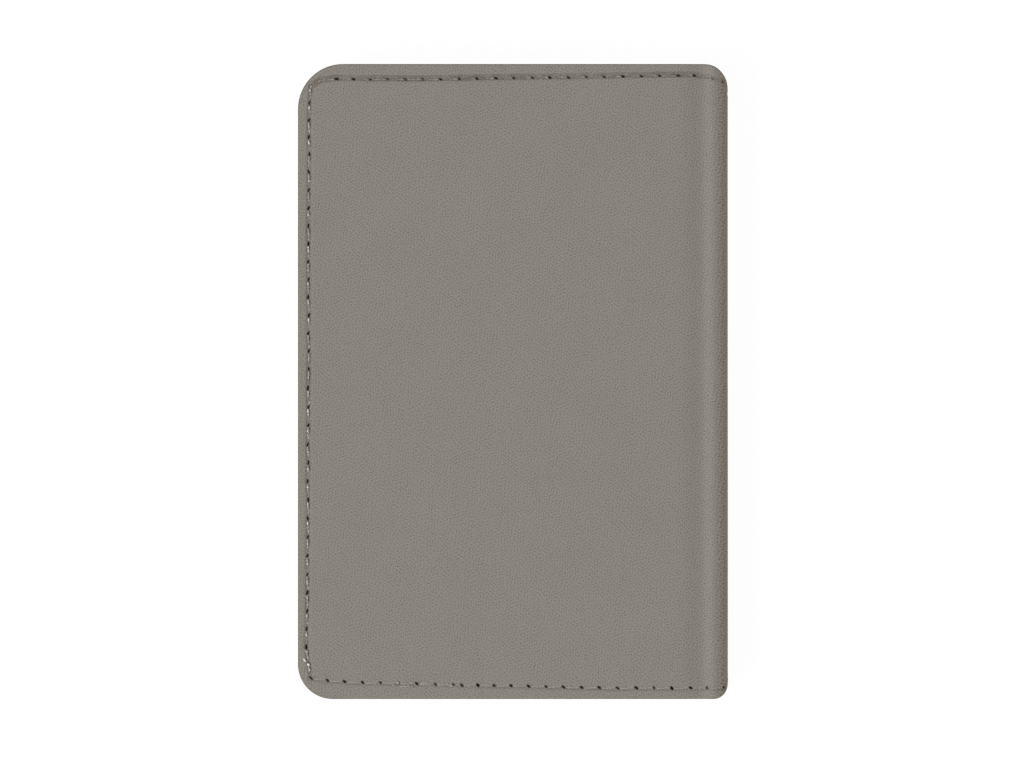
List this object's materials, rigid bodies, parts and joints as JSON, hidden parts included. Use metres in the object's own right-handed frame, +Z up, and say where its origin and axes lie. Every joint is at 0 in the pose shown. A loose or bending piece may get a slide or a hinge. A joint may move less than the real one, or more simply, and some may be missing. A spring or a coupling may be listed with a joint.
{
  "type": "card wallet",
  "caption": "Shut bifold card wallet in pebbled leather: rolled spine with hinge grooves, stitched cut edges and, inside each half, stepped pockets for upright cards. The covers open flat.",
  "frame": {"origin": "under the middle of the shut wallet, on the surface that its front cover lies on", "axes": "+X points to the spine, +Y to the open mouths of the card pockets, +Z up through the thickness, from the front cover to the back cover"},
  "size_m": [0.0746, 0.11, 0.011],
  "materials": {
    "pebbled_leather": "fine pebble grain, satin",
    "sewing_thread": "twisted thread",
    "fibre_board": "pressed fibre, matte",
    "lining_cloth": "plain woven, matte"
  },
  "bodies": {
    "front_half": {"front_cover": "pebbled_leather", "front_board": "fibre_board", "front_lining": "lining_cloth", "front_pocket_backing": "lining_cloth", "front_pocket_1": "pebbled_leather", "front_pocket_2": "pebbled_leather", "front_pocket_3": "pebbled_leather", "front_pocket_1_stop_seam": "sewing_thread", "front_pocket_2_stop_seam": "sewing_thread", "front_pocket_side_seam": "sewing_thread", "front_edge_needle_thread": "sewing_thread", "front_edge_bobbin_thread": "sewing_thread"},
    "spine": {"spine_leather": "pebbled_leather", "spine_stiffener": "fibre_board", "spine_lining": "lining_cloth", "spine_top_needle_thread": "sewing_thread", "spine_bottom_needle_thread": "sewing_thread", "spine_top_bobbin_thread": "sewing_thread", "spine_bottom_bobbin_thread": "sewing_thread"},
    "back_half": {"back_cover": "pebbled_leather", "back_board": "fibre_board", "back_lining": "lining_cloth", "back_pocket_backing": "lining_cloth", "back_pocket_1": "pebbled_leather", "back_pocket_2": "pebbled_leather", "back_pocket_3": "pebbled_leather", "back_pocket_1_stop_seam": "sewing_thread", "back_pocket_2_stop_seam": "sewing_thread", "back_pocket_side_seam": "sewing_thread", "back_edge_needle_thread": "sewing_thread", "back_edge_bobbin_thread": "sewing_thread"}
  },
  "joints": [
    {"name": "front_fold", "type": "hinge", "parent": "front_half", "child": "spine", "pos_m": [0.03652, 0, 0.00073], "axis": [0, 1, 0], "range_deg": [0, 90]},
    {"name": "back_fold", "type": "hinge", "parent": "spine", "child": "back_half", "pos_m": [0.03652, 0, 0.01026], "axis": [0, 1, 0], "range_deg": [0, 90]}
  ],
  "couplings": [
    {"joint": "back_fold", "follows": "front_fold", "ratio": 1}
  ]
}
